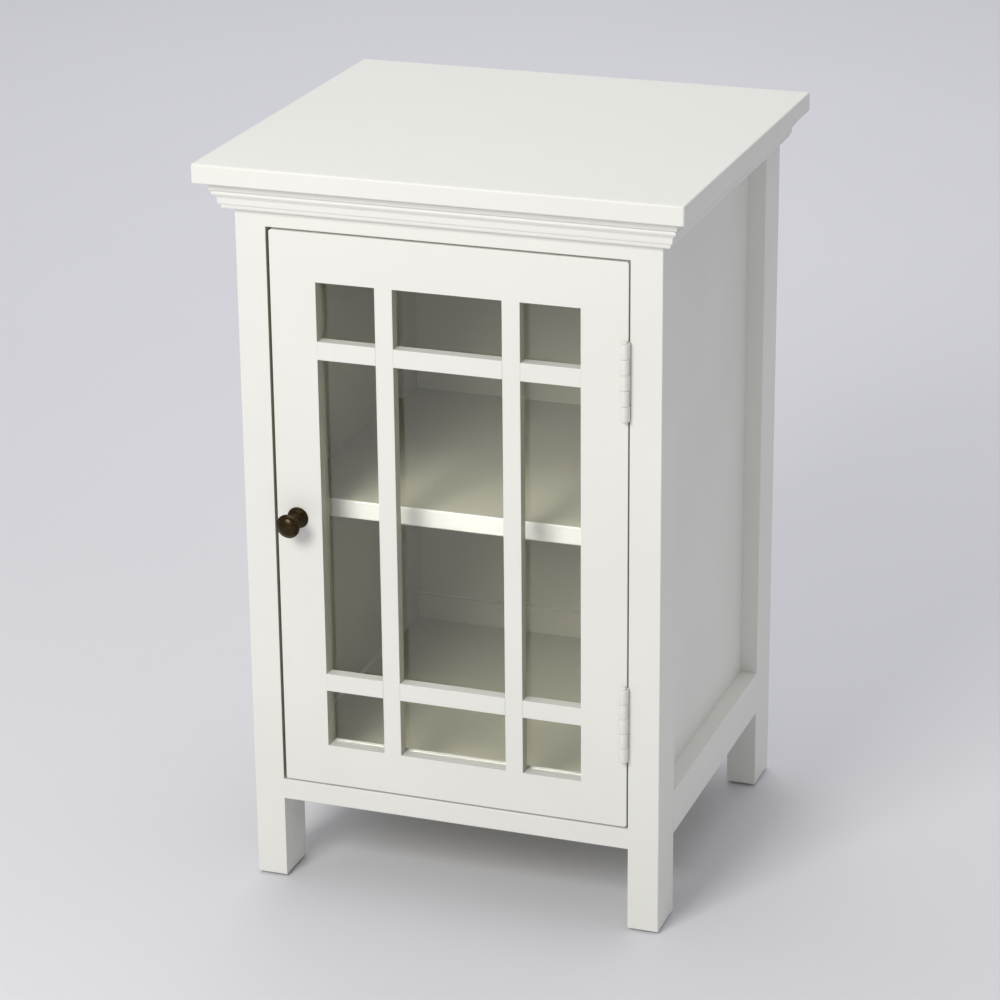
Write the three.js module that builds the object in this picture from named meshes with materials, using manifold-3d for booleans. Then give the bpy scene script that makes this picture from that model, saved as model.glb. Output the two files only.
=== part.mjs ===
// Apothecary cabinet: a small free-standing cupboard on four square legs, with an overhanging
// top, a stepped crown moulding and one glazed door on two butt hinges.
//
// Millimetres, +Z up, the front faces -Y. The origin is on the floor, under the middle of the top.
// Every size that two neighbours share is a multiple of 0.25, so that their faces meet exactly.

import * as THREE from 'three';
import { mergeVertices } from 'three/addons/utils/BufferGeometryUtils.js';
import Module from 'manifold-3d';

const wasm = await Module();
wasm.setup();

// ---------------------------------------------------------------- driving dimensions

const HEIGHT = 711;
const TOP = { width: 457, depth: 418, thick: 18 };
const CASE = { half: 201, front: -178.25, rear: 205.25 };
const LEG = { width: 29.5, depth: 48 };
const GLIDE = { radius: 9, height: 2.5 };
const CROWN_DROP = 27.5;

const SIDE_RAIL = { low: 82.25, floor: 126, top: 656.5 };
const SIDE_PANEL = { recess: 17, thick: 6 };
const REAR = { rail: 18, panelInset: 6, panelThick: 6, railTop: 153.5 };
const SHELF = { top: 377.25, thick: 18 };
const CLEAT = { width: 14, height: 16 };
const BATTEN = 20;

const OPENING = { half: 171.5, low: 104.25, high: 649.5 };
const FRONT_RAIL = { low: 83.75, topThick: 22, bottomThick: 32 };

const DOOR = { left: -168.5, low: 106, width: 338.5, height: 541.75, thick: 20 };
const STILE = 44;
const DOOR_RAIL = { top: 45.75, bottom: 40.25 };
const GRILLE = { depth: 12, upright: 17, cross: 17.25, smallWide: 56.5, smallHigh: 56 };
const REBATE = 7.5;
const GLASS = { thick: 3, play: 0.5 };
const BEAD = { width: 7.25, thick: 4.75 };

const KNOB = { fromEdge: 20.25, up: 267.5, boreRadius: 2.25, screwRadius: 2 };
const HINGE = { length: 72.25, standOff: 4.5, inset: 2.75, upper: 539.25, lower: 210.25 };
const KNUCKLE = { radius: 4, bore: 1.85, length: 14.25, gap: 0.25 };
const LEAF = { thick: 1.5, gap: 0.25, reach: 22.25, clearance: 0.25 };
const PIN_RADIUS = 1.75;
const BUMPER = { radius: 4.5, fromLeg: 24, fromEdge: 5 };

const ROUND_SEGMENTS = 24;
// How far a cutting tool runs past the face that it cuts through.
const OVERRUN = 1;

// ---------------------------------------------------------------- derived places

const UNDER_TOP = HEIGHT - TOP.thick;
const LEG_BACK = CASE.front + LEG.depth;
const REAR_LEG_FRONT = CASE.rear - LEG.depth;
const LEG_CENTRE_X = CASE.half - LEG.width / 2;
const PANEL_OUT = CASE.half - SIDE_PANEL.recess;
const PANEL_IN = PANEL_OUT - SIDE_PANEL.thick;
const REAR_RAIL_FRONT = CASE.rear - REAR.rail;
const REAR_PANEL_FRONT = REAR_RAIL_FRONT + REAR.panelInset;
const TOP_RAIL_BACK = CASE.front + FRONT_RAIL.topThick;
const DOOR_RIGHT = DOOR.left + DOOR.width;
const DOOR_BACK = CASE.front + DOOR.thick;
const HINGE_AXIS = {
  x: (DOOR_RIGHT + OPENING.half) / 2 - HINGE.inset,
  y: CASE.front - HINGE.standOff,
};
// The x limits of a hinge's leaves, from its axis. The frame leaf is flush with the barrel.
const FRAME_LEAF_X = [KNUCKLE.radius - LEAF.thick, KNUCKLE.radius];
const DOOR_LEAF_X = FRAME_LEAF_X.map((x) => x - LEAF.thick - LEAF.gap);

// ---------------------------------------------------------------- finishes

const WHITE_PAINT = { color: 0xecebe6, roughness: 0.42, metalness: 0 };
const PAINTED_STEEL = { color: 0xdedcd6, roughness: 0.38, metalness: 0.1 };
const ANTIQUE_BRONZE = { color: 0x5a4026, roughness: 0.34, metalness: 0.9 };
const CLEAR_GLASS = { color: 0xdfe6e0, roughness: 0.03, metalness: 0, opacity: 0.35, transparent: true };
const ZINC_STEEL = { color: 0xb4b6b8, roughness: 0.3, metalness: 0.9 };
const DARK_PLASTIC = { color: 0x3a3835, roughness: 0.6, metalness: 0 };
const SOFT_RUBBER = { color: 0x6d6a66, roughness: 0.85, metalness: 0 };

// ---------------------------------------------------------------- helpers

function piece(name, geometry, finish) {
  const mesh = new THREE.Mesh(geometry, new THREE.MeshStandardMaterial(finish));
  mesh.name = name;
  return mesh;
}

// A box geometry between two limits on each axis.
function block([x0, x1], [y0, y1], [z0, z1]) {
  const box = new THREE.BoxGeometry(x1 - x0, y1 - y0, z1 - z0);
  return box.translate((x0 + x1) / 2, (y0 + y1) / 2, (z0 + z1) / 2);
}

// A plain board between two limits on each axis.
function board(name, x, y, z, finish = WHITE_PAINT) {
  const size = [x, y, z].map(([low, high]) => high - low);
  const mesh = piece(name, new THREE.BoxGeometry(...size), finish);
  mesh.position.set(...[x, y, z].map(([low, high]) => (low + high) / 2));
  return mesh;
}

// The x limits of a piece on the left (side -1) or on the right (side 1) of the case.
function across(side, inner, outer) {
  return side > 0 ? [inner, outer] : [-outer, -inner];
}

function toSolid(geometry) {
  const bare = geometry.clone();
  bare.deleteAttribute('normal');
  bare.deleteAttribute('uv');
  const merged = mergeVertices(bare, 1e-4);
  return new wasm.Manifold(new wasm.Mesh({
    numProp: 3,
    vertProperties: new Float32Array(merged.attributes.position.array),
    triVerts: new Uint32Array(merged.index.array),
  }));
}

function toGeometry(solid) {
  const { vertProperties, triVerts } = solid.getMesh();
  const geometry = new THREE.BufferGeometry();
  geometry.setAttribute('position', new THREE.BufferAttribute(new Float32Array(vertProperties), 3));
  geometry.setIndex(new THREE.BufferAttribute(new Uint32Array(triVerts), 1));
  geometry.computeVertexNormals();
  return geometry;
}

function cut(geometry, ...tools) {
  const rest = tools.reduce((solid, tool) => solid.subtract(toSolid(tool)), toSolid(geometry));
  return toGeometry(rest);
}

// A turned shape. The profile is a list of [radius, height]; it turns about +Z.
function turned(profile) {
  const points = profile.map(([radius, height]) => new THREE.Vector2(radius, height));
  return new THREE.LatheGeometry(points, ROUND_SEGMENTS).rotateX(Math.PI / 2);
}

// ---------------------------------------------------------------- top and crown

// Stepped section of the crown: x is how far it stands off the case, y is the height.
function crownSection() {
  const base = UNDER_TOP - CROWN_DROP;
  const steps = [
    [0, 0], [6.5, 0], [7, 2], [8, 3.5], [9, 4.5],
    [10.75, 5], [10.75, 8], [11.25, 10.5], [12, 12],
    [13.5, 12.5], [14, 14], [15, 15.5], [15, 18],
    [17, 18.75], [17, CROWN_DROP], [0, CROWN_DROP],
  ];
  return new THREE.Shape(steps.map(([out, up]) => new THREE.Vector2(out, base + up)));
}

// A length of crown whose start or end is mitred: there its outer edge runs on past the case.
function crownLength(length, startMitred, endMitred) {
  const geometry = new THREE.ExtrudeGeometry(crownSection(), { depth: length, bevelEnabled: false });
  const position = geometry.attributes.position;
  for (let i = 0; i < position.count; i += 1) {
    const out = position.getX(i);
    const along = position.getZ(i);
    if (startMitred && along === 0) {
      position.setZ(i, -out);
    }
    if (endMitred && along === length) {
      position.setZ(i, length + out);
    }
  }
  return geometry;
}

// Turns a crown length so that its section's x points along `out` and its length along `run`.
function placeCrown(name, geometry, out, run, origin) {
  const turn = new THREE.Matrix4().makeBasis(out, new THREE.Vector3(0, 0, 1), run);
  const mesh = piece(name, geometry.applyMatrix4(turn), WHITE_PAINT);
  mesh.position.copy(origin);
  return mesh;
}

function crown() {
  const depth = CASE.rear - CASE.front;
  const group = new THREE.Group();
  group.add(placeCrown('crown_front', crownLength(2 * CASE.half, true, true),
    new THREE.Vector3(0, -1, 0), new THREE.Vector3(-1, 0, 0),
    new THREE.Vector3(CASE.half, CASE.front, 0)));
  group.add(placeCrown('crown_left', crownLength(depth, true, false),
    new THREE.Vector3(-1, 0, 0), new THREE.Vector3(0, 1, 0),
    new THREE.Vector3(-CASE.half, CASE.front, 0)));
  group.add(placeCrown('crown_right', crownLength(depth, false, true),
    new THREE.Vector3(1, 0, 0), new THREE.Vector3(0, -1, 0),
    new THREE.Vector3(CASE.half, CASE.rear, 0)));
  return group;
}

function topSlab() {
  return board('top_slab', [-TOP.width / 2, TOP.width / 2], [-TOP.depth / 2, TOP.depth / 2],
    [UNDER_TOP, HEIGHT]);
}

// ---------------------------------------------------------------- legs

function glide(name, x, y) {
  const { radius, height } = GLIDE;
  const profile = [[0, 0], [radius - 2, 0], [radius, 1], [radius, height], [0, height]];
  const mesh = piece(name, turned(profile), DARK_PLASTIC);
  mesh.position.set(x, y, 0);
  return mesh;
}

// Shallow pockets for the hinge leaves in the face of a post, from one x to another.
function hingePockets([x0, x1]) {
  const half = HINGE.length / 2 + LEAF.clearance;
  const back = HINGE_AXIS.y + LEAF.reach + LEAF.clearance;
  return [HINGE.upper, HINGE.lower].map((centre) => (
    block([x0, x1], [CASE.front - OVERRUN, back], [centre - half, centre + half])
  ));
}

function legs() {
  const group = new THREE.Group();
  const rows = [['front', CASE.front, LEG_BACK], ['rear', REAR_LEG_FRONT, CASE.rear]];
  for (const [row, y0, y1] of rows) {
    for (const [hand, side] of [['left', -1], ['right', 1]]) {
      const x = across(side, OPENING.half, CASE.half);
      if (row === 'front' && hand === 'right') {
        const pocket = HINGE_AXIS.x + FRAME_LEAF_X[1] + LEAF.clearance;
        const post = block(x, [y0, y1], [GLIDE.height, UNDER_TOP]);
        group.add(piece('leg_front_right', cut(post, ...hingePockets([x[0] - OVERRUN, pocket])), WHITE_PAINT));
      } else {
        group.add(board(`leg_${row}_${hand}`, x, [y0, y1], [GLIDE.height, UNDER_TOP]));
      }
      group.add(glide(`glide_${row}_${hand}`, side * LEG_CENTRE_X, (y0 + y1) / 2));
    }
  }
  return group;
}

// ---------------------------------------------------------------- rails, panels and boards

function frontRails() {
  const x = [-OPENING.half, OPENING.half];
  const group = new THREE.Group();
  group.add(board('rail_front_top', x, [CASE.front, TOP_RAIL_BACK], [OPENING.high, UNDER_TOP]));
  group.add(board('rail_front_bottom', x, [CASE.front, CASE.front + FRONT_RAIL.bottomThick],
    [FRONT_RAIL.low, OPENING.low]));
  return group;
}

function sideWall(hand, side) {
  const rail = across(side, OPENING.half, CASE.half);
  const y = [LEG_BACK, REAR_LEG_FRONT];
  const group = new THREE.Group();
  group.add(board(`rail_${hand}_top`, rail, y, [SIDE_RAIL.top, UNDER_TOP]));
  group.add(board(`rail_${hand}_bottom`, rail, y, [SIDE_RAIL.low, SIDE_RAIL.floor]));
  group.add(board(`panel_${hand}`, across(side, PANEL_IN, PANEL_OUT), y,
    [SIDE_RAIL.floor, SIDE_RAIL.top]));
  return group;
}

function rearWall() {
  const x = [-OPENING.half, OPENING.half];
  const railY = [REAR_RAIL_FRONT, CASE.rear];
  const panelY = [REAR_PANEL_FRONT, REAR_PANEL_FRONT + REAR.panelThick];
  const group = new THREE.Group();
  group.add(board('rail_rear_top', x, railY, [SIDE_RAIL.top, UNDER_TOP]));
  group.add(board('rail_rear_bottom', x, railY, [SIDE_RAIL.low, REAR.railTop]));
  group.add(board('panel_rear', x, panelY, [REAR.railTop, SIDE_RAIL.top]));
  return group;
}

function floorBoard() {
  return board('floor_board', [-OPENING.half, OPENING.half], [TOP_RAIL_BACK, REAR_RAIL_FRONT],
    [OPENING.low, SIDE_RAIL.floor]);
}

// The shelf fills the case between the side panels and is notched round the rear legs.
function shelf() {
  const wide = PANEL_IN;
  const narrow = OPENING.half;
  const outline = new THREE.Shape([
    new THREE.Vector2(-wide, LEG_BACK),
    new THREE.Vector2(wide, LEG_BACK),
    new THREE.Vector2(wide, REAR_LEG_FRONT),
    new THREE.Vector2(narrow, REAR_LEG_FRONT),
    new THREE.Vector2(narrow, REAR_PANEL_FRONT),
    new THREE.Vector2(-narrow, REAR_PANEL_FRONT),
    new THREE.Vector2(-narrow, REAR_LEG_FRONT),
    new THREE.Vector2(-wide, REAR_LEG_FRONT),
  ]);
  const slab = new THREE.ExtrudeGeometry(outline, { depth: SHELF.thick, bevelEnabled: false });
  const mesh = piece('shelf', slab, WHITE_PAINT);
  mesh.position.z = SHELF.top - SHELF.thick;
  return mesh;
}

function cleatsAndBattens() {
  const y = [LEG_BACK, REAR_LEG_FRONT];
  const shelfUnder = SHELF.top - SHELF.thick;
  const group = new THREE.Group();
  for (const [hand, side] of [['left', -1], ['right', 1]]) {
    group.add(board(`shelf_cleat_${hand}`, across(side, PANEL_IN - CLEAT.width, PANEL_IN), y,
      [shelfUnder - CLEAT.height, shelfUnder]));
    group.add(board(`top_batten_${hand}`, across(side, OPENING.half - BATTEN, OPENING.half), y,
      [UNDER_TOP - BATTEN, UNDER_TOP]));
  }
  return group;
}

// ---------------------------------------------------------------- what the door closes against

function bumper(name, x, z) {
  const depth = TOP_RAIL_BACK - DOOR_BACK - LEAF.clearance;
  const { radius } = BUMPER;
  const profile = [[0, 0], [radius, 0], [radius - 0.25, depth - 0.25], [radius - 1, depth], [0, depth]];
  const mesh = piece(name, turned(profile), SOFT_RUBBER);
  mesh.rotation.x = Math.PI / 2;
  mesh.position.set(x, TOP_RAIL_BACK, z);
  return mesh;
}

function stopsAndCatch() {
  const stop = { depth: 12, drop: 10, rise: 40 };
  const magnet = { wide: 13, deep: 24, low: 575, high: 615, behindDoor: 1 };
  const magnetFront = DOOR_BACK + magnet.behindDoor;
  const bumperX = -OPENING.half + BUMPER.fromLeg;
  const group = new THREE.Group();
  group.add(board('door_stop', [-OPENING.half, OPENING.half],
    [TOP_RAIL_BACK, TOP_RAIL_BACK + stop.depth],
    [OPENING.high - stop.drop, OPENING.high + stop.rise]));
  group.add(bumper('bumper_top', bumperX, OPENING.high - stop.drop + BUMPER.fromEdge));
  group.add(bumper('bumper_bottom', bumperX, SIDE_RAIL.floor - 2 * BUMPER.fromEdge));
  group.add(board('catch_body', [-OPENING.half, -OPENING.half + magnet.wide],
    [magnetFront, magnetFront + magnet.deep], [magnet.low, magnet.high], DARK_PLASTIC));
  return group;
}

// ---------------------------------------------------------------- door
// The door's own group starts at its lower left front corner: x right, y back, z up.

const INNER = { x0: STILE, x1: DOOR.width - STILE, z0: DOOR_RAIL.bottom, z1: DOOR.height - DOOR_RAIL.top };

// The step round the back of the door frame that the pane lies in.
function rebateTool() {
  return block([INNER.x0 - REBATE, INNER.x1 + REBATE], [GRILLE.depth, DOOR.thick + OVERRUN],
    [INNER.z0 - REBATE, INNER.z1 + REBATE]);
}

function doorFrame() {
  const y = [0, DOOR.thick];
  const full = [0, DOOR.height];
  const screwHole = new THREE.CylinderGeometry(KNOB.boreRadius, KNOB.boreRadius, 2 * DOOR.thick, 16)
    .translate(KNOB.fromEdge, DOOR.thick / 2, KNOB.up);
  const pocket = HINGE_AXIS.x + DOOR_LEAF_X[0] - LEAF.clearance;
  const pockets = hingePockets([pocket, DOOR_RIGHT + OVERRUN])
    .map((tool) => tool.translate(-DOOR.left, -CASE.front, -DOOR.low));
  const left = block([0, STILE], y, full);
  const right = block([DOOR.width - STILE, DOOR.width], y, full);
  const top = block([INNER.x0, INNER.x1], y, [INNER.z1, DOOR.height]);
  const bottom = block([INNER.x0, INNER.x1], y, [0, INNER.z0]);
  const group = new THREE.Group();
  group.add(piece('stile_left', cut(left, rebateTool(), screwHole), WHITE_PAINT));
  group.add(piece('stile_right', cut(right, rebateTool(), ...pockets), WHITE_PAINT));
  group.add(piece('door_rail_top', cut(top, rebateTool()), WHITE_PAINT));
  group.add(piece('door_rail_bottom', cut(bottom, rebateTool()), WHITE_PAINT));
  return group;
}

// Two uprights run the full height, and each cross bar is three short lengths between them.
function grille() {
  const y = [0, GRILLE.depth];
  const leftBar = INNER.x0 + GRILLE.smallWide;
  const rightBar = INNER.x1 - GRILLE.smallWide - GRILLE.upright;
  const bays = [
    ['left', INNER.x0, leftBar],
    ['middle', leftBar + GRILLE.upright, rightBar],
    ['right', rightBar + GRILLE.upright, INNER.x1],
  ];
  const rows = [
    ['upper', INNER.z1 - GRILLE.smallHigh - GRILLE.cross],
    ['lower', INNER.z0 + GRILLE.smallHigh],
  ];
  const group = new THREE.Group();
  group.add(board('muntin_left', [leftBar, leftBar + GRILLE.upright], y, [INNER.z0, INNER.z1]));
  group.add(board('muntin_right', [rightBar, rightBar + GRILLE.upright], y, [INNER.z0, INNER.z1]));
  for (const [row, z] of rows) {
    for (const [bay, x0, x1] of bays) {
      group.add(board(`muntin_${row}_${bay}`, [x0, x1], y, [z, z + GRILLE.cross]));
    }
  }
  return group;
}

function glazing() {
  const reach = REBATE - GLASS.play;
  const x = [INNER.x0 - REBATE, INNER.x1 + REBATE];
  const z = [INNER.z0 - REBATE, INNER.z1 + REBATE];
  const beadY = [DOOR.thick - BEAD.thick, DOOR.thick];
  const between = [x[0] + BEAD.width, x[1] - BEAD.width];
  const group = new THREE.Group();
  group.add(board('door_glass', [INNER.x0 - reach, INNER.x1 + reach],
    [GRILLE.depth, GRILLE.depth + GLASS.thick], [INNER.z0 - reach, INNER.z1 + reach], CLEAR_GLASS));
  group.add(board('bead_left', [x[0], x[0] + BEAD.width], beadY, z));
  group.add(board('bead_right', [x[1] - BEAD.width, x[1]], beadY, z));
  group.add(board('bead_bottom', between, beadY, [z[0], z[0] + BEAD.width]));
  group.add(board('bead_top', between, beadY, [z[1] - BEAD.width, z[1]]));
  return group;
}

// Turned pull. Its profiles are [radius, distance from the door's face].
function knob() {
  const bore = KNOB.boreRadius;
  const boreEnd = 16;
  const rose = [[bore, 0], [10.25, 0], [10.25, 1.25], [8.75, 2], [8, 2], [7, 3], [bore, 3], [bore, 0]];
  const head = [
    [0, boreEnd], [bore, boreEnd], [bore, 3.25], [5.5, 3.25], [4.5, 5], [4, 9], [4.25, 14], [5.5, 17.5],
    [8.5, 21], [10.75, 22.75], [11.5, 24.25], [11, 25.75], [9.5, 27.25], [6.5, 28.75], [3, 29.5], [0, 29.75],
  ];
  const back = -DOOR.thick;
  const screw = [
    [0, back - 2.5], [2.75, back - 2.25], [4, back - 0.75], [4, back - 0.25],
    [KNOB.screwRadius, back - 0.25], [KNOB.screwRadius, boreEnd - 1], [0, boreEnd - 1],
  ];
  const group = new THREE.Group();
  group.add(piece('knob_rose', turned(rose), ANTIQUE_BRONZE));
  group.add(piece('knob', turned(head), ANTIQUE_BRONZE));
  group.add(piece('knob_screw', turned(screw), ZINC_STEEL));
  group.rotation.x = Math.PI / 2;
  group.position.set(KNOB.fromEdge, 0, KNOB.up);
  return group;
}

function door() {
  const strike = { x0: 1, x1: 13, thick: 0.75, z0: 474, z1: 504 };
  const group = new THREE.Group();
  group.add(doorFrame(), grille(), glazing(), knob());
  group.add(board('catch_strike', [strike.x0, strike.x1], [DOOR.thick, DOOR.thick + strike.thick],
    [strike.z0, strike.z1], ZINC_STEEL));
  group.position.set(DOOR.left, CASE.front, DOOR.low);
  return group;
}

// ---------------------------------------------------------------- hinges
// A hinge's own group has its pin on +Z through the origin and its leaves reaching back along +Y.

// The height limits of the knuckles with the given numbers, counted from the bottom.
function knuckleSpans(numbers) {
  return numbers.map((number) => {
    const low = -HINGE.length / 2 + number * (KNUCKLE.length + KNUCKLE.gap);
    return [low, low + KNUCKLE.length];
  });
}

function leaf(name, x, numbers) {
  const half = HINGE.length / 2;
  let solid = toSolid(block(x, [HINGE.standOff, LEAF.reach], [-half, half]));
  for (const [low, high] of knuckleSpans(numbers)) {
    const { radius, length } = KNUCKLE;
    const roll = new THREE.CylinderGeometry(radius, radius, length, ROUND_SEGMENTS)
      .rotateX(Math.PI / 2)
      .translate(0, 0, (low + high) / 2);
    const tab = block(x, [0, HINGE.standOff + OVERRUN], [low, high]);
    solid = solid.add(toSolid(roll)).add(toSolid(tab));
  }
  const bore = new THREE.CylinderGeometry(KNUCKLE.bore, KNUCKLE.bore, 2 * HINGE.length, ROUND_SEGMENTS)
    .rotateX(Math.PI / 2);
  return piece(name, toGeometry(solid.subtract(toSolid(bore))), PAINTED_STEEL);
}

function pin(name) {
  const end = HINGE.length / 2 + KNUCKLE.gap;
  const button = [[2.5, end], [2.5, end + 0.5], [1.75, end + 1.25], [0, end + 1.25]];
  const upperHalf = [[PIN_RADIUS, end], ...button];
  const lowerHalf = upperHalf.map(([radius, height]) => [radius, -height]).reverse();
  return piece(name, turned([...lowerHalf, ...upperHalf]), PAINTED_STEEL);
}

function hinge(place, height) {
  const group = new THREE.Group();
  group.add(leaf(`hinge_${place}_frame_leaf`, FRAME_LEAF_X, [0, 2, 4]));
  group.add(leaf(`hinge_${place}_door_leaf`, DOOR_LEAF_X, [1, 3]));
  group.add(pin(`hinge_${place}_pin`));
  group.position.set(HINGE_AXIS.x, HINGE_AXIS.y, height);
  return group;
}

// ---------------------------------------------------------------- assembly

const cabinet = new THREE.Group();
cabinet.add(topSlab(), crown(), legs(), frontRails());
cabinet.add(sideWall('left', -1), sideWall('right', 1), rearWall());
cabinet.add(floorBoard(), shelf(), cleatsAndBattens(), stopsAndCatch());
cabinet.add(door(), hinge('upper', HINGE.upper), hinge('lower', HINGE.lower));

export default cabinet;
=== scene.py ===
"""An apothecary cabinet in white satin paint, with a glazed grille door and a bronze pull.

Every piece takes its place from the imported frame, in metres: x to the right, y to the back, z up.
Sizes below that are multiplied by MM are in millimetres.
"""

import math

import bmesh
import bpy
from mathutils import Matrix, Vector


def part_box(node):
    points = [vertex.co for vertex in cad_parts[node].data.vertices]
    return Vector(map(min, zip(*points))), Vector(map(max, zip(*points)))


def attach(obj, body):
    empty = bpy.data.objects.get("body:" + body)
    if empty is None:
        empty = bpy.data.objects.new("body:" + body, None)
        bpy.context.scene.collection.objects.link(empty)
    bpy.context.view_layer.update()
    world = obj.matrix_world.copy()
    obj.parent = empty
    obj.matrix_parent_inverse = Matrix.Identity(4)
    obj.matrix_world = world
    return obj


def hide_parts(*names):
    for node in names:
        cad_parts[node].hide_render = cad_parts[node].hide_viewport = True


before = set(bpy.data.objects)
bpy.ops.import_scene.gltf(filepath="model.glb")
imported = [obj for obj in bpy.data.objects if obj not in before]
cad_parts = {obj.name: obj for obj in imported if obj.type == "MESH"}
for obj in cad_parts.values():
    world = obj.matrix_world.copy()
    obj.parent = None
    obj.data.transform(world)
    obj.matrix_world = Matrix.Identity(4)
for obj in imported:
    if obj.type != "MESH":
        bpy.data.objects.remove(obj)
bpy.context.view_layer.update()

MM = 0.001
X, Y, Z = 0, 1, 2
CASE, DOOR = "case", "door"
# Edges bent less than this are shaded as round, and edges bent more than this are a board's arrises.
SHARP_ANGLE = math.radians(38)
ARRIS_ANGLE = math.radians(30)

# ------------------------------------------------------------------ camera

VIEW_AIM = Vector((-1.5, -35.6, 356.7)) * MM
VIEW_DISTANCE = 3.25
VIEW_AZIMUTH = math.radians(19.69)
VIEW_ELEVATION = math.radians(20.74)
VIEW_ROLL = math.radians(-0.54)
VIEW_LENS = 123.6


def make_camera():
    """The camera looks down at the front from the right, a little above the top board."""
    lens = bpy.data.cameras.new("view")
    lens.lens = VIEW_LENS
    camera = bpy.data.objects.new("view", lens)
    bpy.context.scene.collection.objects.link(camera)
    back = Vector((
        math.sin(VIEW_AZIMUTH) * math.cos(VIEW_ELEVATION),
        -math.cos(VIEW_AZIMUTH) * math.cos(VIEW_ELEVATION),
        math.sin(VIEW_ELEVATION),
    ))
    turn = (-back).to_track_quat("-Z", "Y").to_matrix().to_4x4()
    place = Matrix.Translation(VIEW_AIM + back * VIEW_DISTANCE)
    camera.matrix_world = place @ turn @ Matrix.Rotation(VIEW_ROLL, 4, "Z")
    bpy.context.scene.camera = camera


# ------------------------------------------------------------------ shader helpers


def start_finish(name):
    """A new material, its node tree and its own surface shader."""
    material = bpy.data.materials.new(name)
    material.use_nodes = True
    tree = material.node_tree
    return material, tree, tree.nodes["Principled BSDF"]


def node(tree, kind, inputs=None, **settings):
    """Adds a shader node. An input's value may be another node's output."""
    made = tree.nodes.new("ShaderNode" + kind)
    for setting, value in settings.items():
        setattr(made, setting, value)
    for socket, value in (inputs or {}).items():
        if isinstance(value, bpy.types.NodeSocket):
            tree.links.new(value, made.inputs[socket])
        else:
            made.inputs[socket].default_value = value
    return made


def object_space(tree, stretch=(1, 1, 1)):
    """Places on the piece, in metres, squeezed along each axis by `stretch`."""
    place = node(tree, "TexCoord")
    mapping = node(tree, "Mapping", {"Vector": place.outputs["Object"], "Scale": stretch})
    return mapping.outputs["Vector"]


def noise(tree, where, scale, detail=3.0, roughness=0.5):
    """A cloudy pattern from 0 to 1, with `scale` clouds to a metre."""
    made = node(tree, "TexNoise", {
        "Vector": where, "Scale": scale, "Detail": detail, "Roughness": roughness,
    })
    return made.outputs["Fac"]


def spread(tree, value, low, high, start=0.3, end=0.7):
    """Takes a pattern from start..end to low..high."""
    made = node(tree, "MapRange", {
        "Value": value, "From Min": start, "From Max": end, "To Min": low, "To Max": high,
    })
    return made.outputs["Result"]


def blend_colours(tree, factor, first, second):
    made = node(tree, "Mix", data_type="RGBA")
    tree.links.new(factor, made.inputs["Factor"])
    for socket, colour in ((6, first), (7, second)):
        if isinstance(colour, bpy.types.NodeSocket):
            tree.links.new(colour, made.inputs[socket])
        else:
            made.inputs[socket].default_value = (*colour, 1)
    return made.outputs[2]


def bumps(tree, shader, layers):
    """Lays bump patterns one over another. A layer is its pattern and its height in metres."""
    normal = None
    for pattern, height in layers:
        inputs = {"Height": pattern, "Distance": height, "Strength": 1.0}
        if normal is not None:
            inputs["Normal"] = normal
        normal = node(tree, "Bump", inputs).outputs["Normal"]
    tree.links.new(normal, shader.inputs["Normal"])


# ------------------------------------------------------------------ finishes

# How much a grain pattern is squeezed along the length of its board.
GRAIN_STRETCH = 0.05


def satin_paint(name, grain, light, shade):
    """White satin paint on wood: the grain shows through faintly, over a fine sprayed skin."""
    material, tree, shader = start_finish(name)
    along = [1.0, 1.0, 1.0]
    along[grain] = GRAIN_STRETCH
    where = object_space(tree)
    fibres = noise(tree, object_space(tree, along), 900, detail=4, roughness=0.6)
    skin = noise(tree, where, 1400, detail=2)
    waves = noise(tree, where, 45, detail=2)
    clouds = noise(tree, where, 6, detail=3)
    tone = blend_colours(tree, spread(tree, clouds, 0, 1), light, shade)
    tree.links.new(tone, shader.inputs["Base Color"])
    tree.links.new(spread(tree, clouds, 0.36, 0.46), shader.inputs["Roughness"])
    bumps(tree, shader, [(waves, 0.12 * MM), (fibres, 0.02 * MM), (skin, 0.012 * MM)])
    return material


def steel_paint():
    """The same white on the hinges, smoother, and thin in small spots."""
    material, tree, shader = start_finish("painted_steel")
    where = object_space(tree)
    drips = noise(tree, where, 260, detail=3)
    thin = noise(tree, where, 700, detail=4, roughness=0.7)
    worn = spread(tree, thin, 0, 1, start=0.62, end=0.72)
    tone = blend_colours(tree, worn, (0.80, 0.795, 0.765), (0.62, 0.61, 0.57))
    tree.links.new(tone, shader.inputs["Base Color"])
    tree.links.new(spread(tree, drips, 0.26, 0.38), shader.inputs["Roughness"])
    bumps(tree, shader, [(drips, 0.1 * MM)])
    return material


def antique_bronze():
    """Dark patina on bronze, rubbed to warm metal in small spots."""
    material, tree, shader = start_finish("antique_bronze")
    shader.inputs["Metallic"].default_value = 1.0
    where = object_space(tree)
    rubbed = noise(tree, where, 420, detail=5, roughness=0.65)
    clouds = noise(tree, where, 150, detail=3)
    patina = blend_colours(tree, spread(tree, clouds, 0, 1), (0.036, 0.026, 0.013), (0.055, 0.038, 0.02))
    worn = spread(tree, rubbed, 0, 0.7, start=0.58, end=0.74)
    tone = blend_colours(tree, worn, patina, (0.22, 0.14, 0.06))
    tree.links.new(tone, shader.inputs["Base Color"])
    tree.links.new(spread(tree, rubbed, 0.38, 0.26), shader.inputs["Roughness"])
    bumps(tree, shader, [(clouds, 0.15 * MM), (rubbed, 0.05 * MM)])
    return material


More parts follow.
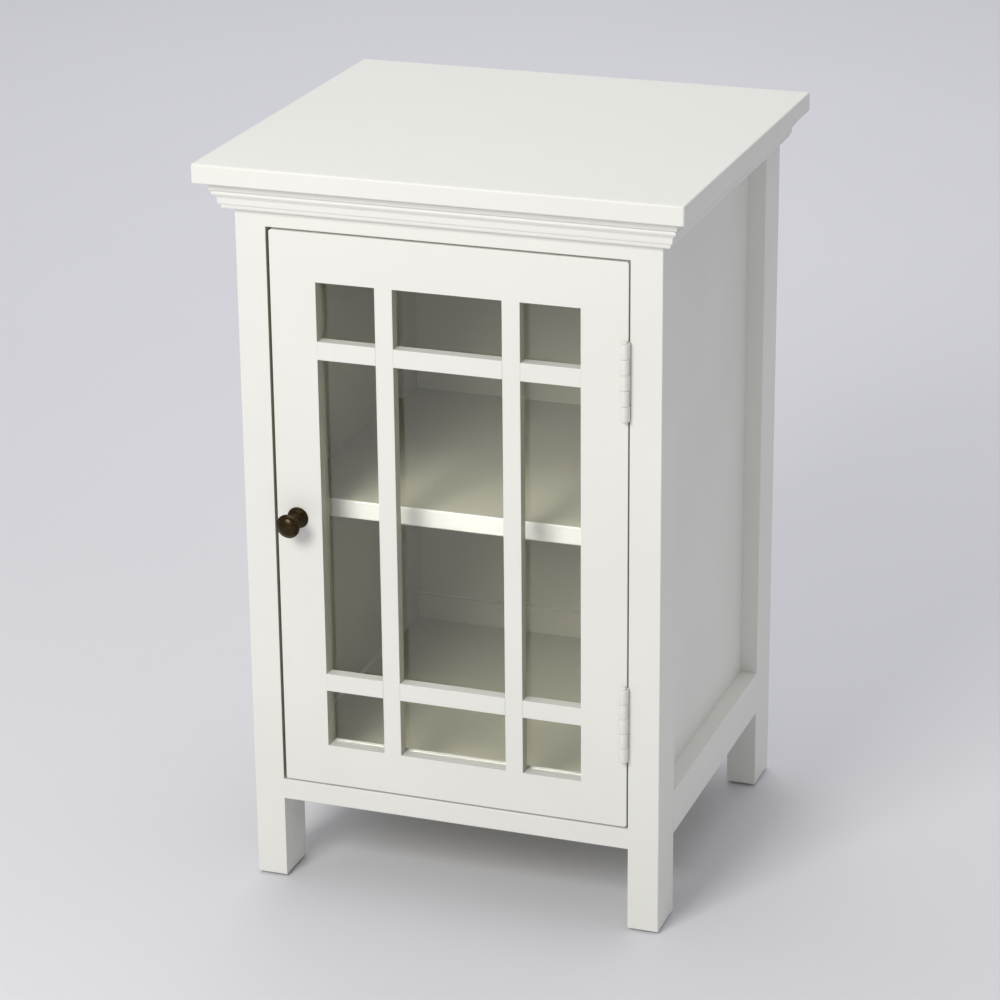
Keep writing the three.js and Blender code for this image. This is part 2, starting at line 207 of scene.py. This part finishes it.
def clear_glass():
    """Float glass that lets light through to the inside with a faint green tint."""
    material, tree, shader = start_finish("clear_glass")
    shader.inputs["Base Color"].default_value = (0.985, 0.99, 0.98, 1)
    shader.inputs["Transmission Weight"].default_value = 1.0
    shader.inputs["Roughness"].default_value = 0.0
    shader.inputs["IOR"].default_value = 1.5
    waves = noise(tree, object_space(tree), 9, detail=1)
    bumps(tree, shader, [(waves, 0.05 * MM)])
    clear = node(tree, "BsdfTransparent", {"Color": (0.92, 0.925, 0.91, 1)})
    path = node(tree, "LightPath")
    mixed = node(tree, "MixShader", {
        0: path.outputs["Is Shadow Ray"], 1: shader.outputs["BSDF"], 2: clear.outputs["BSDF"],
    })
    tree.links.new(mixed.outputs["Shader"], tree.nodes["Material Output"].inputs["Surface"])
    return material


def zinc_plate():
    """Bright zinc with the fine swirls of plating."""
    material, tree, shader = start_finish("zinc_plate")
    shader.inputs["Metallic"].default_value = 1.0
    swirls = noise(tree, object_space(tree), 500, detail=5, roughness=0.7)
    tone = blend_colours(tree, spread(tree, swirls, 0, 1), (0.60, 0.61, 0.62), (0.47, 0.47, 0.45))
    tree.links.new(tone, shader.inputs["Base Color"])
    tree.links.new(spread(tree, swirls, 0.28, 0.42), shader.inputs["Roughness"])
    bumps(tree, shader, [(swirls, 0.02 * MM)])
    return material


def moulded(name, light, shade, roughness):
    """A moulded plastic or rubber with a fine matt texture."""
    material, tree, shader = start_finish(name)
    where = object_space(tree)
    texture = noise(tree, where, 1800, detail=3)
    clouds = noise(tree, where, 90, detail=2)
    tone = blend_colours(tree, spread(tree, clouds, 0, 1), light, shade)
    tree.links.new(tone, shader.inputs["Base Color"])
    tree.links.new(spread(tree, clouds, roughness - 0.06, roughness + 0.06), shader.inputs["Roughness"])
    bumps(tree, shader, [(texture, 0.04 * MM)])
    return material


WHITE = ((0.83, 0.825, 0.785), (0.80, 0.795, 0.755))
# Painted shade: a darker, greyer white inside the case and on the faces of the door that look sideways,
# for the shade in the case, in the door's gap and in the panes' reveals.
SHADED_WHITE = ((0.56, 0.545, 0.435), (0.53, 0.515, 0.41))
PAINT = {axis: satin_paint(f"satin_paint_{'xyz'[axis]}", axis, *WHITE) for axis in (X, Y, Z)}
SHADE_PAINT = {axis: satin_paint(f"painted_shade_paint_{'xyz'[axis]}", axis, *SHADED_WHITE) for axis in (X, Y, Z)}
STEEL_PAINT = steel_paint()
BRONZE = antique_bronze()
GLASS = clear_glass()
ZINC = zinc_plate()
PLASTIC = moulded("dark_plastic", (0.045, 0.044, 0.042), (0.06, 0.058, 0.055), 0.5)
RUBBER = moulded("soft_rubber", (0.22, 0.21, 0.20), (0.27, 0.26, 0.25), 0.8)

# ------------------------------------------------------------------ mesh helpers


def add_piece(name, bm, finishes, body, replaced=(), flat_sided=False):
    """Makes a finished mesh a piece that rides on a body and stands for the frame's own nodes.

    `flat_sided` keeps the square faces flat right up to their rounded edges.
    """
    bm.normal_update()
    for face in bm.faces:
        face.smooth = not (flat_sided and max(abs(part) for part in face.normal) > 0.9999)
    for edge in bm.edges:
        edge.smooth = len(edge.link_faces) == 2 and edge.calc_face_angle() < SHARP_ANGLE
    mesh = bpy.data.meshes.new(name)
    bm.to_mesh(mesh)
    bm.free()
    for finish in finishes:
        mesh.materials.append(finish)
    piece = bpy.data.objects.new(name, mesh)
    bpy.context.scene.collection.objects.link(piece)
    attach(piece, body)
    if replaced:
        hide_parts(*replaced)
    return piece


def block(low, high):
    """A box between two corners."""
    bm = bmesh.new()
    bmesh.ops.create_cube(bm, size=1)
    bmesh.ops.scale(bm, vec=high - low, verts=bm.verts)
    bmesh.ops.translate(bm, vec=(low + high) / 2, verts=bm.verts)
    return bm


def whole_copy(name):
    """A copy of a node's own shape, as one closed shell with whole faces."""
    bm = bmesh.new()
    bm.from_mesh(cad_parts[name].data)
    bmesh.ops.remove_doubles(bm, verts=bm.verts, dist=0.005 * MM)
    bmesh.ops.dissolve_limit(bm, angle_limit=math.radians(1), verts=bm.verts, edges=bm.edges)
    return bm


def round_edges(bm, edges, radius, segments=3):
    bmesh.ops.bevel(
        bm, geom=list(edges), offset=radius * MM, offset_type="OFFSET", affect="EDGES",
        segments=segments, profile=0.5, material=-1, clamp_overlap=True,
    )


def runs_along(edge, axis):
    step = edge.verts[1].co - edge.verts[0].co
    return abs(step[axis]) > 0.999 * step.length


def is_arris(edge):
    return len(edge.link_faces) == 2 and edge.calc_face_angle() > ARRIS_ANGLE


def on_plane(edge, axis, place):
    return all(abs(vert.co[axis] - place) < 0.01 * MM for vert in edge.verts)


def edges_on(bm, axis, *places):
    """The edges that lie in any of the planes across an axis at the given places."""
    return [edge for edge in bm.edges if any(on_plane(edge, axis, place) for place in places)]


def spin_profile(profile, steps, closed):
    """Spins a profile, a list of (radius, height) in millimetres, about +Z."""
    bm = bmesh.new()
    verts = [bm.verts.new((radius * MM, 0, height * MM)) for radius, height in profile]
    edges = [bm.edges.new(pair) for pair in zip(verts, verts[1:])]
    if closed:
        edges.append(bm.edges.new((verts[-1], verts[0])))
    bmesh.ops.spin(
        bm, geom=verts + edges, cent=(0, 0, 0), axis=(0, 0, 1),
        angle=2 * math.pi, steps=steps, use_merge=True,
    )
    bmesh.ops.remove_doubles(bm, verts=bm.verts, dist=0.001 * MM)
    return bm


def turn_profile(profile, steps):
    """A closed turned shape about +Z. A profile that starts off the axis leaves a bore."""
    bm = spin_profile(profile, steps, closed=profile[0][0] > 0)
    bmesh.ops.recalc_face_normals(bm, faces=bm.faces)
    return bm


def arc(centre, radius, start, end, steps=6):
    """Points of an arc of a profile, in millimetres, from one angle in degrees to another."""
    angles = [math.radians(start + (end - start) * i / steps) for i in range(steps + 1)]
    return [(centre[0] + radius * math.cos(a), centre[1] + radius * math.sin(a)) for a in angles]


def dome(radius, rise, base):
    """Points of a quarter of an ellipse of a profile, from near its rim to near its crown."""
    angles = [math.radians(degrees) for degrees in range(6, 90, 7)]
    return [(radius * math.cos(a), base + rise * math.sin(a)) for a in angles]


# Turns a shape that stands on +Z to lie out of the front, along -Y.
OUT_OF_FRONT = Matrix.Rotation(math.radians(90), 3, "X")


def put(bm, place, turn=None):
    if turn is not None:
        bmesh.ops.rotate(bm, cent=(0, 0, 0), matrix=turn, verts=bm.verts)
    bmesh.ops.translate(bm, vec=place, verts=bm.verts)
    return bm


def join(target, *others):
    """Adds other meshes to one mesh."""
    for other in others:
        scrap = bpy.data.meshes.new("scrap")
        other.to_mesh(scrap)
        other.free()
        target.from_mesh(scrap)
        bpy.data.meshes.remove(scrap)
    return target


# ------------------------------------------------------------------ boards

# The space inside the case with the faces that bound it. Of the faces that look to the front,
# only those behind REAR_PART are seen as inside.
INSIDE = (Vector((-178.1, -158.3, 104.2)) * MM, Vector((178.1, 193.6, 693.1)) * MM)
REAR_PART = 100 * MM
# Radii of eased edges, in millimetres.
TOP_EASE = {"corners": 2.0, "above": 1.8, "below": 1.2}
LEG_EASE, FOOT_EASE = 0.9, 2.6
SHELF_EASE = 1.5


def looks_inside(face):
    """Whether a face of the case bounds the space inside it, front edges apart."""
    middle = face.calc_center_median()
    within = all(low < place < high for low, place, high in zip(INSIDE[0], middle, INSIDE[1]))
    return within and (face.normal.y > -0.5 or middle.y > REAR_PART)


def looks_sideways(face):
    """Whether a face of the door is an upright side of a pane's opening or of the door itself."""
    return abs(face.normal.x) > 0.9


def painted(name, bm, grain, body):
    """A painted wooden piece, with painted shade, a darker, greyer white, inside the case and on the
    door's upright sides.
    """
    bm.normal_update()
    takes_painted_shade = looks_inside if body == CASE else looks_sideways
    for face in bm.faces:
        face.material_index = int(takes_painted_shade(face))
    finishes = (PAINT[grain], SHADE_PAINT[grain])
    return add_piece(f"{name}_painted", bm, finishes, body, [name], flat_sided=True)


def score(bm, axis, place):
    """Splits the faces that cross a plane, so that each side can have its own finish, such as the painted
    shade inside the case.
    """
    normal = Vector((0, 0, 0))
    normal[axis] = 1
    everything = bm.verts[:] + bm.edges[:] + bm.faces[:]
    bmesh.ops.bisect_plane(bm, geom=everything, dist=0.001 * MM, plane_co=normal * place, plane_no=normal)


def plain_board(name, grain, body, arris=0.9, ends=0.2):
    """A board with its long edges eased and its ends left crisp, where they meet a neighbour."""
    bm = block(*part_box(name))
    round_edges(bm, [edge for edge in bm.edges if runs_along(edge, grain)], arris)
    low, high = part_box(name)
    round_edges(bm, edges_on(bm, grain, low[grain], high[grain]), ends, segments=2)
    return painted(name, bm, grain, body)


def top_board():
    """The top board, with round corners and its edges eased a little more above than below."""
    low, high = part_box("top_slab")
    bm = block(low, high)
    corners = [edge for edge in bm.edges if runs_along(edge, Z)]
    round_edges(bm, corners, TOP_EASE["corners"], segments=5)
    round_edges(bm, edges_on(bm, Z, high.z), TOP_EASE["above"], segments=5)
    round_edges(bm, edges_on(bm, Z, low.z), TOP_EASE["below"], segments=4)
    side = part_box("leg_rear_right")[0].x
    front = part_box("door_stop")[0].y
    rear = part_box("rail_rear_top")[0].y
    for axis, place in ((X, -side), (X, side), (Y, front), (Y, rear)):
        score(bm, axis, place)
    return painted("top_slab", bm, X, CASE)


def crown_outline():
    """The crown's section as (out, up), in millimetres.

    From below it has two ovolos, a bead and a fillet, each on a quirk.
    """
    return (
        [(0, 0), (7.0, 0), (7.9, 0.35), (8.5, 1.0), (8.85, 2.0), (9.0, 3.2), (9.0, 4.3), (9.3, 4.75)]
        + [(10.6, 4.9), (11.0, 5.3), (11.2, 6.2), (11.35, 8.0)]
        + [(11.5, 10.0), (11.8, 11.4), (12.2, 12.1)]
        + [(13.3, 12.4), (13.5, 12.8)]
        + arc((13.1, 15.9), 2.35, -62, 62, steps=8)
        + [(14.3, 18.4), (15.9, 18.6), (16.7, 18.75), (17.0, 19.1), (17.0, 27.5), (0, 27.5)]
    )


def crown_length(name, out, run, start, length, mitred):
    """A length of crown. `out` points off the case and `run` along it.

    `mitred` is for the start and the end; a mitred end runs on by its own width.
    """
    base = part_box(name)[0].z
    bm = bmesh.new()
    verts = [
        bm.verts.new(start + out * (x * MM) + Vector((0, 0, base + up * MM)))
        for x, up in crown_outline()
    ]
    section = bm.faces.new(verts)
    grown = bmesh.ops.extrude_face_region(bm, geom=[section])
    far = [item for item in grown["geom"] if isinstance(item, bmesh.types.BMVert)]
    bmesh.ops.translate(bm, vec=run * length, verts=far)
    for end, vertices, way in ((0, verts, -run), (1, far, run)):
        if mitred[end]:
            for vert in vertices:
                vert.co += way * (vert.co - start).dot(out)
    bmesh.ops.recalc_face_normals(bm, faces=bm.faces)
    grain = X if abs(run.x) > 0.5 else Y
    return painted(name, bm, grain, CASE)


def crown():
    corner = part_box("leg_front_right")
    right, front = corner[1].x, corner[0].y
    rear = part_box("leg_rear_right")[1].y
    width, depth = 2 * right, rear - front
    lengths = (
        ("crown_front", (0, -1), (-1, 0), (right, front), width, (True, True)),
        ("crown_left", (-1, 0), (0, 1), (-right, front), depth, (True, False)),
        ("crown_right", (1, 0), (0, -1), (right, rear), depth, (False, True)),
    )
    for name, out, run, start, length, mitred in lengths:
        flat = (Vector((*pair, 0)) for pair in (out, run, start))
        crown_length(name, *flat, length, mitred)


def legs():
    """Square posts, eased along their outer edges and a little more round their feet."""
    for name in ("leg_front_left", "leg_front_right", "leg_rear_left", "leg_rear_right"):
        bm = whole_copy(name)
        low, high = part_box(name)
        outer_x = low.x if low.x < 0 else high.x
        outer = [edge for edge in bm.edges if runs_along(edge, Z) and on_plane(edge, X, outer_x)]
        round_edges(bm, outer, LEG_EASE, segments=4)
        round_edges(bm, edges_on(bm, Z, low.z), FOOT_EASE, segments=5)
        score(bm, Z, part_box("rail_front_bottom")[1].z)
        painted(name, bm, Z, CASE)


def case_boards():
    for hand in ("left", "right"):
        plain_board(f"rail_{hand}_top", Y, CASE)
        plain_board(f"rail_{hand}_bottom", Y, CASE)
        plain_board(f"panel_{hand}", Z, CASE, arris=0.3)
        plain_board(f"shelf_cleat_{hand}", Y, CASE)
        plain_board(f"top_batten_{hand}", Y, CASE)
    for name in ("rail_rear_top", "rail_rear_bottom", "door_stop"):
        plain_board(name, X, CASE)
    for name in ("rail_front_top", "rail_front_bottom"):
        plain_board(name, X, CASE, ends=0.06)
    plain_board("panel_rear", Z, CASE, arris=0.3)
    plain_board("floor_board", X, CASE, arris=0.5)


def shelf():
    """The shelf is notched round the rear legs, and its front edge is rounded."""
    bm = whole_copy("shelf")
    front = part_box("shelf")[0].y
    edges = [edge for edge in bm.edges if on_plane(edge, Y, front) and runs_along(edge, X)]
    round_edges(bm, edges, SHELF_EASE, segments=4)
    painted("shelf", bm, X, CASE)


# ------------------------------------------------------------------ door

# Radii of the door's edges, in millimetres: its corners seen from the front, its rim, round the panes.
DOOR_EASE = {"corners": 2.5, "rim": 0.6, "panes": 0.35}


def door_frame():
    """Stiles and rails: crisp where they meet, eased round the outside and round the panes."""
    door_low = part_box("stile_left")[0]
    door_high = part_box("stile_right")[1]
    members = (("stile_left", Z), ("stile_right", Z), ("door_rail_top", X), ("door_rail_bottom", X))
    for name, grain in members:
        bm = whole_copy(name)
        outer_x = door_low.x if name == "stile_left" else door_high.x
        if grain == Z:
            corners = [
                edge for edge in bm.edges
                if runs_along(edge, Y) and on_plane(edge, X, outer_x) and is_arris(edge)
                and (on_plane(edge, Z, door_low.z) or on_plane(edge, Z, door_high.z))
            ]
            round_edges(bm, corners, DOOR_EASE["corners"], segments=5)
        rim = [
            edge for edge in bm.edges
            if is_arris(edge) and (on_plane(edge, Y, door_low.y) or on_plane(edge, Y, door_high.y))
            and outside_door(edge, door_low, door_high)
        ]
        round_edges(bm, rim, DOOR_EASE["rim"], segments=4)
        inner = [
            edge for edge in bm.edges
            if is_arris(edge) and on_plane(edge, Y, door_low.y) and not near_rim(edge, door_low, door_high)
        ]
        round_edges(bm, inner, DOOR_EASE["panes"], segments=2)
        painted(name, bm, grain, DOOR)


def outside_door(edge, low, high):
    """Whether an edge lies round the outside of the door, its round corners included."""
    reach = (DOOR_EASE["corners"] + 0.1) * MM
    middle = (edge.verts[0].co + edge.verts[1].co) / 2
    return (
        middle.x < low.x + reach or middle.x > high.x - reach
        or middle.z < low.z + reach or middle.z > high.z - reach
    ) and not (runs_along(edge, Z) and low.x + reach < middle.x < high.x - reach)


def near_rim(edge, low, high):
    """Whether an edge is part of the door's eased rim."""
    reach = 2 * MM
    middle = (edge.verts[0].co + edge.verts[1].co) / 2
    return not (low.x + reach < middle.x < high.x - reach and low.z + reach < middle.z < high.z - reach)


def grille():
    for hand in ("left", "right"):
        plain_board(f"muntin_{hand}", Z, DOOR, arris=0.5, ends=0.15)
    for row in ("upper", "lower"):
        for bay in ("left", "middle", "right"):
            plain_board(f"muntin_{row}_{bay}", X, DOOR, arris=0.5, ends=0.15)


def glazing():
    for side, grain in (("left", Z), ("right", Z), ("top", X), ("bottom", X)):
        plain_board(f"bead_{side}", grain, DOOR, arris=0.5, ends=0.15)
    bm = block(*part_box("door_glass"))
    round_edges(bm, bm.edges[:], 0.3, segments=1)
    add_piece("door_pane", bm, [GLASS], DOOR, ["door_glass"], flat_sided=True)


# ------------------------------------------------------------------ pull


def pull():
    """A turned rose and a mushroom head on a waisted neck, held by a screw through the stile."""
    low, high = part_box("knob_rose")
    centre = Vector(((low.x + high.x) / 2, high.y, (low.z + high.z) / 2))
    rose = (
        [(2.25, 0), (10.1, 0)]
        + arc((9.65, 0.6), 0.6, 0, 90, steps=4)
        + [(9.1, 1.25)]
        + arc((8.3, 1.6), 0.6, 0, 90, steps=4)
        + [(7.4, 2.3)]
        + arc((6.6, 2.4), 0.6, 0, 90, steps=4)
        + [(2.25, 3.0)]
    )
    head = (
        [(0, 16), (2.25, 16), (2.25, 3.2), (5.9, 3.2), (5.6, 4.0), (4.9, 5.2)]
        + arc((11.2, 11.0), 7.2, 215, 170, steps=6)
        + [(4.6, 14.6), (5.6, 17.2), (7.2, 19.8), (9.0, 21.8), (10.3, 22.9)]
        + arc((10.55, 24.0), 0.95, -70, 95, steps=7)
        + [(10.0, 25.1), (9.75, 25.35)]
        + dome(9.6, 4.35, 25.4)
        + [(0, 29.75)]
    )
    for name, profile, replaced in (("pull_rose", rose, "knob_rose"), ("pull_head", head, "knob")):
        bm = put(turn_profile(profile, 64), centre, OUT_OF_FRONT)
        add_piece(name, bm, [BRONZE], DOOR, [replaced])


# ------------------------------------------------------------------ screws

FACING_RIGHT = Matrix.Rotation(math.radians(90), 3, "Y")
FACING_LEFT = Matrix.Rotation(math.radians(-90), 3, "Y")
FACING_BACK = Matrix.Rotation(math.radians(-90), 3, "X")

# Sides of screw heads, from the flat top down to the axis, as (radius, height) in millimetres.
LEAF_SCREW = [(2.9, 0.1), (3.1, 0.04), (3.15, -0.1), (1.6, -1.0), (0, -1.0)]
FLUSH_SCREW = [(2.3, 0.14), (2.5, 0.08), (2.55, -0.1), (1.4, -0.6), (0, -0.6)]
SMALL_PAN_SCREW = [(1.6, 0.8), (2.2, 0.65), (2.5, 0.3), (2.5, -0.3), (0, -0.3)]

# A cross recess: its reach as a share of the flat top, half its width as a share of its reach,
# and its depth in millimetres.
RECESS_REACH = 0.66
RECESS_HALF = 0.26
RECESS_DEPTH = 0.7


def cross_outline(reach, half):
    """The outline of a cross recess as (x, y), in millimetres."""
    quarter = [(reach, -half), (reach, half), (half, half)]
    quarter_turns = ((1, 0), (0, 1), (-1, 0), (0, -1))
    return [(x * cos - y * sin, x * sin + y * cos) for cos, sin in quarter_turns for x, y in quarter]


def screw(name, side, place, turn, body, replaced=()):
    """A screw head with a cross recess in its flat top, and what `side` gives it below."""
    bm = spin_profile(side, 24, closed=False)
    top_radius, top = side[0]
    reach = RECESS_REACH * top_radius
    rim = [edge for edge in bm.edges if edge.is_boundary]
    outline = cross_outline(reach, RECESS_HALF * reach)
    corners = [bm.verts.new((x * MM, y * MM, top * MM)) for x, y in outline]
    cross = [bm.edges.new(pair) for pair in zip(corners, corners[1:] + corners[:1])]
    bmesh.ops.triangle_fill(bm, edges=rim + cross, use_beauty=True)
    grown = bmesh.ops.extrude_edge_only(bm, edges=cross)
    sunk = [item for item in grown["geom"] if isinstance(item, bmesh.types.BMVert)]
    bmesh.ops.translate(bm, vec=(0, 0, -RECESS_DEPTH * MM), verts=sunk)
    brink = [edge for edge in bm.edges if edge.is_boundary]
    bmesh.ops.triangle_fill(bm, edges=brink, use_beauty=True)
    bmesh.ops.recalc_face_normals(bm, faces=bm.faces)
    add_piece(name, put(bm, place, turn), [ZINC], body, replaced)


# ------------------------------------------------------------------ hinges

# Sizes in millimetres. A door leaf's near face lies off the pin's axis by `from_axis`,
# and a plate starts behind the axis by `stand_off`.
KNUCKLE = {"radius": 4.0, "bore": 1.85, "length": 14.25, "gap": 0.25}
LEAF = {"thick": 1.5, "from_axis": 0.75, "stand_off": 4.5}
# Places of a leaf's screws, from the axis and from the leaf's middle height.
LEAF_SCREW_PLACES = ((15.5, -25), (11, 0), (15.5, 25))


def knuckle(low, high):
    """One roll of a hinge, with its ends eased."""
    ease = 0.6
    radius, bore = KNUCKLE["radius"], KNUCKLE["bore"]
    profile = (
        [(bore, low), (radius - ease, low)]
        + arc((radius - ease, low + ease), ease, -90, 0, steps=3)[1:]
        + arc((radius - ease, high - ease), ease, 0, 90, steps=3)
        + [(bore, high)]
    )
    return turn_profile(profile, 40)


def hinge_leaf(name, body, numbers, axis, bottom):
    """A leaf: its plate let into the wood, and the knuckles with the given numbers from the bottom."""
    low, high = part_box(name)
    thick, stand_off = LEAF["thick"] * MM, LEAF["stand_off"] * MM
    left = high.x - thick if body == CASE else axis.x + LEAF["from_axis"] * MM
    right = left + thick
    bm = block(Vector((left, axis.y + stand_off, low.z)), Vector((right, high.y, high.z)))
    round_edges(bm, edges_on(bm, Y, high.y), 0.3, segments=2)
    for number in numbers:
        foot = bottom + number * (KNUCKLE["length"] + KNUCKLE["gap"]) * MM
        head = foot + KNUCKLE["length"] * MM
        tab = block(Vector((left, axis.y, foot)), Vector((right, axis.y + stand_off + MM, head)))
        roll = put(knuckle(0, KNUCKLE["length"]), Vector((axis.x, axis.y, foot)))
        join(bm, tab, roll)
    add_piece(f"{name}_painted", bm, [STEEL_PAINT], body, [name])
    face_x, turn = (left, FACING_LEFT) if body == CASE else (right, FACING_RIGHT)
    middle = (low.z + high.z) / 2
    for number, (back, up) in enumerate(LEAF_SCREW_PLACES, 1):
        place = Vector((face_x, axis.y + back * MM, middle + up * MM))
        screw(f"{name}_screw_{number}", LEAF_SCREW, place, turn, body)


def pin_profile(half):
    """A hinge pin with a button at each end. `half` is half its length in millimetres."""
    shoulder = half - 1.25
    button = arc((1.3, half - 1.2), 1.2, 10, 90, steps=5)
    tip = [(1.75, shoulder), (2.5, shoulder)] + button + [(0, half)]
    return [(radius, -height) for radius, height in reversed(tip)] + tip


def hinges():
    for place in ("upper", "lower"):
        pin_low, pin_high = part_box(f"hinge_{place}_pin")
        axis = Vector(((pin_low.x + pin_high.x) / 2, (pin_low.y + pin_high.y) / 2, 0))
        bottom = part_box(f"hinge_{place}_frame_leaf")[0].z
        hinge_leaf(f"hinge_{place}_frame_leaf", CASE, (0, 2, 4), axis, bottom)
        hinge_leaf(f"hinge_{place}_door_leaf", DOOR, (1, 3), axis, bottom)
        half = (pin_high.z - pin_low.z) / 2 / MM
        middle = Vector((axis.x, axis.y, (pin_low.z + pin_high.z) / 2))
        bm = put(turn_profile(pin_profile(half), 32), middle)
        node_name = f"hinge_{place}_pin"
        add_piece(f"{node_name}_painted", bm, [STEEL_PAINT], CASE, [node_name])


# ------------------------------------------------------------------ small parts


def turned_node(name, new_name, profile, turn, finish, body):
    """Puts a turned shape in place of a node.

    It stands on the node's low face, or with a turn it lies out of the front from its rear face.
    """
    low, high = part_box(name)
    middle = (low + high) / 2
    foot = Vector((middle.x, middle.y, low.z)) if turn is None else Vector((middle.x, high.y, middle.z))
    add_piece(new_name, put(turn_profile(profile, 40), foot, turn), [finish], body, [name])


def glides_and_bumpers():
    glide = [(0, 0), (6.6, 0), (7.6, 0.15), (8.5, 0.6), (9.0, 1.3), (9.0, 2.5), (0, 2.5)]
    for name in ("glide_front_left", "glide_front_right", "glide_rear_left", "glide_rear_right"):
        turned_node(name, f"foot_{name}", glide, None, PLASTIC, CASE)
    bumper = [(0, 0), (4.5, 0), (4.5, 0.5), (4.3, 1.1), (3.6, 1.5), (2.4, 1.7), (0, 1.75)]
    for name in ("bumper_top", "bumper_bottom"):
        turned_node(name, f"door_{name}", bumper, OUT_OF_FRONT, RUBBER, CASE)


def pull_screw():
    """The pan-head screw that holds the pull, from inside the door."""
    low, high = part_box("knob_screw")
    head = 2.5
    side = (
        [(2.7, head), (3.4, 2.15), (3.85, 1.4), (4.0, 0.5), (4.0, 0.25)]
        + [(2.0, 0.25), (2.0, -34), (1.4, -35), (0, -35)]
    )
    place = Vector(((low.x + high.x) / 2, high.y - head * MM, (low.z + high.z) / 2))
    screw("pull_screw", side, place, FACING_BACK, DOOR, ["knob_screw"])


# The catch, in millimetres: its case is a little smaller than its box, its poles stop short of the
# case's ends, and its screws stand behind its middle, one above and one below.
CASE_INSET = 0.8
POLE = {"thick": 1.5, "deep": 6, "short": 7}
POLE_PLACES = (("catch_pole_outer", 3.0), ("catch_pole_inner", 8.0))
CATCH_SCREWS = {"back": 4, "up": (-14, 14)}
# The strike plate leaves room for its screw's head.
STRIKE_INSET = 0.15


def magnetic_catch():
    """A moulded case with two steel poles, screwed to the leg, and a strike plate on the door."""
    low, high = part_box("catch_body")
    inset = CASE_INSET * MM
    bm = block(low + Vector((0, inset, 0)), high - Vector((inset, 0, 0)))
    round_edges(bm, bm.edges[:], 1.2, segments=4)
    add_piece("catch_case", bm, [PLASTIC], CASE, ["catch_body"], flat_sided=True)
    thick, deep, short = (POLE[size] * MM for size in ("thick", "deep", "short"))
    for name, from_leg in POLE_PLACES:
        foot = Vector((low.x + from_leg * MM, low.y, low.z + short))
        pole = block(foot, Vector((foot.x + thick, low.y + deep, high.z - short)))
        round_edges(pole, pole.edges[:], 0.25, segments=2)
        add_piece(name, pole, [ZINC], CASE, flat_sided=True)
    middle = (low + high) / 2
    screws_y = middle.y + CATCH_SCREWS["back"] * MM
    for number, up in enumerate(CATCH_SCREWS["up"], 1):
        place = Vector((high.x - inset, screws_y, middle.z + up * MM))
        screw(f"catch_screw_{number}", SMALL_PAN_SCREW, place, FACING_RIGHT, CASE)

    low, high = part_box("catch_strike")
    bm = block(low, high - Vector((0, STRIKE_INSET * MM, 0)))
    round_edges(bm, [edge for edge in bm.edges if runs_along(edge, Y)], 2.5, segments=5)
    face = max(edge.verts[0].co.y for edge in bm.edges)
    round_edges(bm, edges_on(bm, Y, face), 0.2, segments=2)
    add_piece("strike_plate", bm, [ZINC], DOOR, ["catch_strike"], flat_sided=True)
    middle = (low + high) / 2
    screw("strike_screw", FLUSH_SCREW, Vector((middle.x, face, middle.z)), FACING_BACK, DOOR)


# ------------------------------------------------------------------ studio

FLOOR_COLOUR = ((0.75, 0.75, 0.79), (0.735, 0.735, 0.775))
FLOOR_REACH = 12
SUBJECT = Vector((0, -0.1, 0.45))
KEY_DISTANCE = 2.3
TOWARD_KEY = Vector((-4.2, -20, 12)).normalized()
# The soft boxes: place, aim, side in metres, power in watts and colour.
SOFT_BOXES = {
    "key": (SUBJECT + TOWARD_KEY * KEY_DISTANCE, SUBJECT, 0.8, 29.5, (1.0, 0.985, 0.935)),
    "overhead": (Vector((0, 1.0, 3.0)), Vector((0, 0.4, 0)), 3.0, 22, (1.0, 0.995, 0.98)),
    "backdrop": (Vector((-1.3, 3.2, 3.0)), Vector((-1.3, 3.2, 0)), 3.0, 34, (0.98, 0.985, 1.0)),
}
AIR_COLOUR = (0.97, 0.98, 1.0, 1)
AIR_STRENGTH = 0.46


def studio_floor():
    """A wide pale floor."""
    material, tree, shader = start_finish("studio_floor")
    clouds = noise(tree, object_space(tree), 1.5)
    tone = blend_colours(tree, spread(tree, clouds, 0, 1), *FLOOR_COLOUR)
    tree.links.new(tone, shader.inputs["Base Color"])
    shader.inputs["Roughness"].default_value = 0.7
    shader.inputs["Specular IOR Level"].default_value = 0.2
    bm = bmesh.new()
    bmesh.ops.create_grid(bm, x_segments=1, y_segments=1, size=FLOOR_REACH)
    mesh = bpy.data.meshes.new("studio_floor")
    bm.to_mesh(mesh)
    bm.free()
    mesh.materials.append(material)
    floor = bpy.data.objects.new("studio_floor", mesh)
    bpy.context.scene.collection.objects.link(floor)


def soft_box(name, place, aim, size, watts, colour):
    """A square soft box that faces a point."""
    light = bpy.data.lights.new(name, "AREA")
    light.size = size
    light.energy = watts
    light.color = colour
    lamp = bpy.data.objects.new(name, light)
    bpy.context.scene.collection.objects.link(lamp)
    lamp.location = place
    lamp.rotation_mode = "QUATERNION"
    lamp.rotation_quaternion = (aim - place).to_track_quat("-Z", "Y")


def studio():
    studio_floor()
    for name, (place, aim, size, watts, colour) in SOFT_BOXES.items():
        soft_box(name, place, aim, size, watts, colour)
    world = bpy.data.worlds.new("studio_air")
    world.use_nodes = True
    air = world.node_tree.nodes["Background"]
    air.inputs["Color"].default_value = AIR_COLOUR
    air.inputs["Strength"].default_value = AIR_STRENGTH
    bpy.context.scene.world = world
    bpy.context.scene.view_settings.view_transform = "Standard"


# ------------------------------------------------------------------ all of it

make_camera()
top_board()
crown()
legs()
case_boards()
shelf()
door_frame()
grille()
glazing()
pull()
hinges()
glides_and_bumpers()
pull_screw()
magnetic_catch()
studio()
